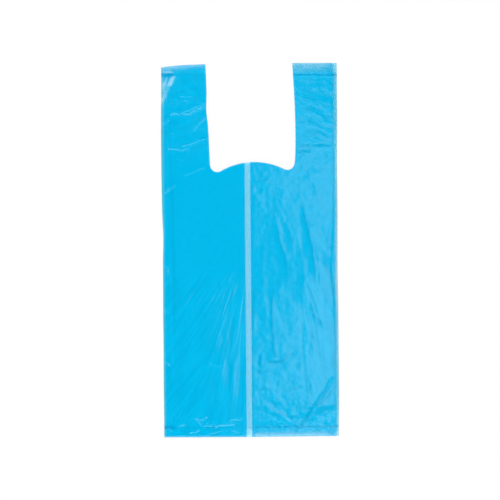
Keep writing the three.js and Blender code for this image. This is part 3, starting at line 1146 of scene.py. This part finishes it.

# %% [markdown]
# ## Cover and colour
#
# The welds show as thin darker lines across the bag, strongest on the right and at the far left. The rim
# on the right is thin. Alpha follows the cover that the tree stored. The film has two faces, so each one
# lets through the square root of what both let through. The colour runs from deep blue to pale blue with
# the cover: the pale blue is painted light, for the light that comes back up through thin film. The colour
# is deeper on welds, and painted shade makes it deeper in furrows and along creases. Painted shade also
# greys the sides, where folded film is seen edge on, and the skirt above the top weld on the right is a
# little greyer.

# %% Welds, rim and alpha
WELD_END = (-80.0, -74.0)
WELD_SHARES = (0.3, 0.8)
WELD_LINE = (1.0, 0.3)
RIM_THIN = 0.34
RIM_START = (-5.0, -1.5)
RIM_END = (-0.8, -1.4)
RIM_END_SHARE = 0.2

weld_end = 1 - film_x.smooth(*WELD_END)
weld_share = right_film.most(weld_end).blend(*WELD_SHARES)
weld_line = weld_share * (weld_distance(film_x, film_y) - weld_end).smooth(*WELD_LINE)
from_right = film_x - HALF_WIDTH
rim = RIM_THIN * from_right.smooth(*RIM_START) * from_right.smooth(*RIM_END).blend(RIM_END_SHARE, 1.0)
film_cover = Wire.node(nodes, "ShaderNodeAttribute", {"attribute_name": "cover"}, output="Fac")
film_cover = (film_cover * (1 - rim)).most(weld_line)
alpha = 1 - (1 - film_cover).sqrt()
print(f"the rim loses up to {RIM_THIN} of its cover")

# %% Colour of the film
DEEP_BLUE = (0.0003, 0.50, 0.85, 1.0)
BACKLIT_PALE_BLUE = (0.02, 0.68, 1.0, 1.0)
WELD_BLUE = (0.0002, 0.34, 0.66, 1.0)
FURROW_SHADE_BLUE = (0.0, 0.455, 0.78, 1.0)
EDGE_SHADE_BLUE = (0.08, 0.48, 0.60, 1.0)
CREASE_SHADE_BLUE = (0.0, 0.38, 0.68, 1.0)
FURROW_SHADE_DEPTH = 0.07
CREASE_SHADE_SHARE = 0.85
EDGE_SHADE_STRIP = (-3.5, -1.0)
LEFT_EDGE_SHADE_SHARE = 0.7
RIGHT_EDGE_SHADE_SHARE = 0.4
GREY_SKIRT_RISE = (0.5, 6.0)
GREY_SKIRT_SHARE = 0.2
MIX_FACTOR, MIX_FIRST, MIX_SECOND, MIX_RESULT = 0, 6, 7, 2


def mixed_colour(factor, none, full):
    """The first colour where the factor is 0, and the second where it is 1."""
    sockets = {MIX_FACTOR: factor, MIX_FIRST: none, MIX_SECOND: full}
    return Wire.node(nodes, "ShaderNodeMix", {"data_type": "RGBA"}, sockets, MIX_RESULT)


# Painted shade: the colour is deeper in the furrows of the fine wrinkles and paler where the film stands
# up.
furrow_shade = 1 - fine_height.smooth(-FURROW_SHADE_DEPTH, FURROW_SHADE_DEPTH)
# Painted shade: the crease line darkens the colour along each steep crease.
crease_shade_line = Wire.node(nodes, "ShaderNodeAttribute", {"attribute_name": "crease_shade_line"}, output="Fac")
# Painted shade greys the sides where folded film is seen edge on. The skirt above the top weld on the
# right is greyed a little too.
edge_shade_and_grey_skirt = (abs(film_x) - HALF_WIDTH).smooth(*EDGE_SHADE_STRIP) * right_film.blend(LEFT_EDGE_SHADE_SHARE, RIGHT_EDGE_SHADE_SHARE)
edge_shade_and_grey_skirt = edge_shade_and_grey_skirt.most(above_top_weld(film_x, film_y).smooth(*GREY_SKIRT_RISE) * right_film * GREY_SKIRT_SHARE)
colour = mixed_colour(furrow_shade, DEEP_BLUE, FURROW_SHADE_BLUE)
colour = mixed_colour(crease_shade_line * CREASE_SHADE_SHARE, colour, CREASE_SHADE_BLUE)
# Painted light: where the cover is low, the colour turns pale blue, for light coming back up through the
# film.
colour = mixed_colour(film_cover.smooth(GAP_COVER, STACK_COVER), BACKLIT_PALE_BLUE, colour)
colour = mixed_colour(edge_shade_and_grey_skirt, colour, EDGE_SHADE_BLUE)
colour = mixed_colour(weld_line, colour, WELD_BLUE)
print(f"film finish: {len(nodes.nodes)} nodes with the colour")

# %% [markdown]
# ## Sheen
#
# Blown film is smooth, so its sheen shows the lamps' shapes softly. It is rougher where it was handled,
# on the left handle, and a little rougher where the fan and the wrinkles of the right half break it up.

# %% Film material
FILM_ROUGHNESS = 0.14
RIGHT_ROUGHNESS = 0.025
HANDLED_ROUGHNESS = 0.13
PATCH_NOISE = (-0.4, 0.4)
FAN_ROUGHNESS = 0.05
ROUGH_FAN_TOP = (-30.0, -85.0)
ROUGH_FAN_SIDE = (-60.0, -25.0)

patches = fine_wrinkle("patches", film_x, film_y).smooth(*PATCH_NOISE)
fan_film = left_film * film_y.smooth(*ROUGH_FAN_TOP) * film_x.smooth(*ROUGH_FAN_SIDE)
roughness = FILM_ROUGHNESS + RIGHT_ROUGHNESS * right_film + FAN_ROUGHNESS * fan_film
roughness = roughness + HANDLED_ROUGHNESS * handled * patches
sockets = {"Strength": 1.0, "Distance": MM, "Height": fine_height}
bump = Wire.node(nodes, "ShaderNodeBump", sockets=sockets)
shader = nodes.nodes["Principled BSDF"]
for label, wire in {"Base Color": colour, "Alpha": alpha, "Roughness": roughness, "Normal": bump}.items():
    nodes.links.new(wire.socket, shader.inputs[label])
print(f"film finish: {len(nodes.nodes)} nodes")

# %% [markdown]
# ## Running the tree
#
# The tree's inputs are set by their identifiers, then Solidify gives the film its thickness. The result
# is taken as a plain mesh, because the finished piece carries no live modifiers.

# %% Apply the wrinkles and the thickness
wrinkle_modifier = bag_film.modifiers.new("folds_and_wrinkles", "NODES")
wrinkle_modifier.node_group = wrinkle_tree
inputs = [item for item in wrinkle_tree.interface.items_tree if item.in_out == "INPUT"]
identifiers = {item.name: item.identifier for item in inputs}
wrinkle_modifier[identifiers["Finish"]] = film_finish
thickness = bag_film.modifiers.new("film_thickness", "SOLIDIFY")
thickness.thickness = FILM_THICKNESS * MM
thickness.offset = 0
graph = bpy.context.evaluated_depsgraph_get()
evaluated = bag_film.evaluated_get(graph)
plain_mesh = bpy.data.meshes.new_from_object(evaluated, preserve_all_data_layers=True, depsgraph=graph)
bag_film.modifiers.clear()
bag_film.data = plain_mesh
plain_mesh.name = "bag_film"
plain_mesh.shade_smooth()
triangles = sum(len(polygon.vertices) - 2 for polygon in plain_mesh.polygons)
heights = np.array([vertex.co.z for vertex in plain_mesh.vertices])
print(f"bag_film: {triangles} triangles, {heights.min() / MM:.2f} to {heights.max() / MM:.2f} mm high")

# %% [markdown]
# ## Table
#
# The table is white and keeps a trace of the bag's shadow. Most of what the camera sees of it, directly,
# mirrored or through the film, is a plain white of its own. So it needs no stronger light than the bag.

# %% White table
TABLE_SIZE = 6.0
TABLE_WHITE = 0.9
SEEN_WHITE = 0.9

table_mesh = bpy.data.meshes.new("table")
half = TABLE_SIZE / 2
corners = [(-half, -half, 0), (half, -half, 0), (half, half, 0), (-half, half, 0)]
table_mesh.from_pydata(corners, [], [(0, 1, 2, 3)])
table = bpy.data.objects.new("table", table_mesh)
bpy.context.collection.objects.link(table)
table_finish = bpy.data.materials.new("table_white")
table_finish.use_nodes = True
nodes = table_finish.node_tree
nodes.nodes.clear()
seen = Wire.node(nodes, "ShaderNodeLightPath", output="Is Camera Ray")
seen = seen.most(seen.twin("Is Glossy Ray")).most(seen.twin("Is Transmission Ray"))
plain = Wire.node(nodes, "ShaderNodeBsdfDiffuse", sockets={"Color": (TABLE_WHITE,) * 3 + (1,)})
glow = Wire.node(nodes, "ShaderNodeEmission", sockets={"Strength": 1.0})
surface = Wire.node(nodes, "ShaderNodeMixShader", sockets={0: seen * SEEN_WHITE, 1: plain, 2: glow})
Wire.node(nodes, "ShaderNodeOutputMaterial", sockets={"Surface": surface})
table_mesh.materials.append(table_finish)
print("table is", TABLE_SIZE, "m wide")

# %% [markdown]
# ## Light
#
# The light is soft. Three boxes hang edge to edge over the right side, where the film's mirror direction
# meets them, so its sheen grows from left to right and every wrinkle that tips away from them is dark.
# One more box on the left and one beyond each end of the bag catch the creases that tip that way. The
# world fills in from low angles and stays dark overhead.

# %% Light boxes
BOX_HEIGHT = 1.2
LIGHT_BOXES = {
    # Edges across and along, in metres from the bag's middle, and watts for each square metre
    "light_box_right": ((0.10, 0.18), (-0.47, 0.43), 4.4),
    "light_box_high_right": ((0.18, 0.45), (0.05, 0.265), 4.8),
    "light_box_low_right": ((0.18, 0.45), (-0.47, 0.05), 6.0),
    "light_box_left": ((-1.7, -0.8), (-0.7, 0.7), 4.0),
    "light_box_far": ((-0.7, 0.7), (0.85, 1.6), 7.0),
    "light_box_near": ((-0.7, 0.7), (-1.6, -0.85), 7.0),
}


def hang_light_box(name, across, along, watts_per_area):
    """A rectangular lamp at the boxes' height, facing down, between the given edges."""
    lamp_data = bpy.data.lights.new(name, "AREA")
    lamp_data.shape = "RECTANGLE"
    lamp_data.size = across[1] - across[0]
    lamp_data.size_y = along[1] - along[0]
    lamp_data.energy = watts_per_area * lamp_data.size * lamp_data.size_y
    lamp = bpy.data.objects.new(name, lamp_data)
    lamp.location = (sum(across) / 2, sum(along) / 2, BOX_HEIGHT)
    lamp.visible_camera = False
    bpy.context.collection.objects.link(lamp)
    return lamp_data.energy


for name, shape in LIGHT_BOXES.items():
    print(f"{name}: {hang_light_box(name, *shape):.1f} W")

# %% World
FILL = 2.28
OVERHEAD = 0.0
WALL_TOP = (0.45, 0.85)
FILM_FACES_IN_A_ROW = 24

world = bpy.data.worlds.new("studio")
world.use_nodes = True
bpy.context.scene.world = world
nodes = world.node_tree
nodes.nodes.clear()
direction = Wire.node(nodes, "ShaderNodeTexCoord", output="Generated")
upward = Wire.node(nodes, "ShaderNodeSeparateXYZ", sockets={0: direction}, output=2)
walls = upward.smooth(*WALL_TOP).blend(FILL, OVERHEAD)
seen = Wire.node(nodes, "ShaderNodeLightPath", output="Is Camera Ray")
seen = seen.most(seen.twin("Is Transmission Ray"))
sky = Wire.node(nodes, "ShaderNodeBackground", sockets={"Strength": seen.blend(walls, 1.0)})
Wire.node(nodes, "ShaderNodeOutputWorld", sockets={"Surface": sky})
bpy.context.scene.cycles.transparent_max_bounces = FILM_FACES_IN_A_ROW
print("world fill", FILL)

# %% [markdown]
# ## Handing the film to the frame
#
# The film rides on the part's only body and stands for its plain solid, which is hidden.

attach(bag_film, "root")
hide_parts("nappy_bag")
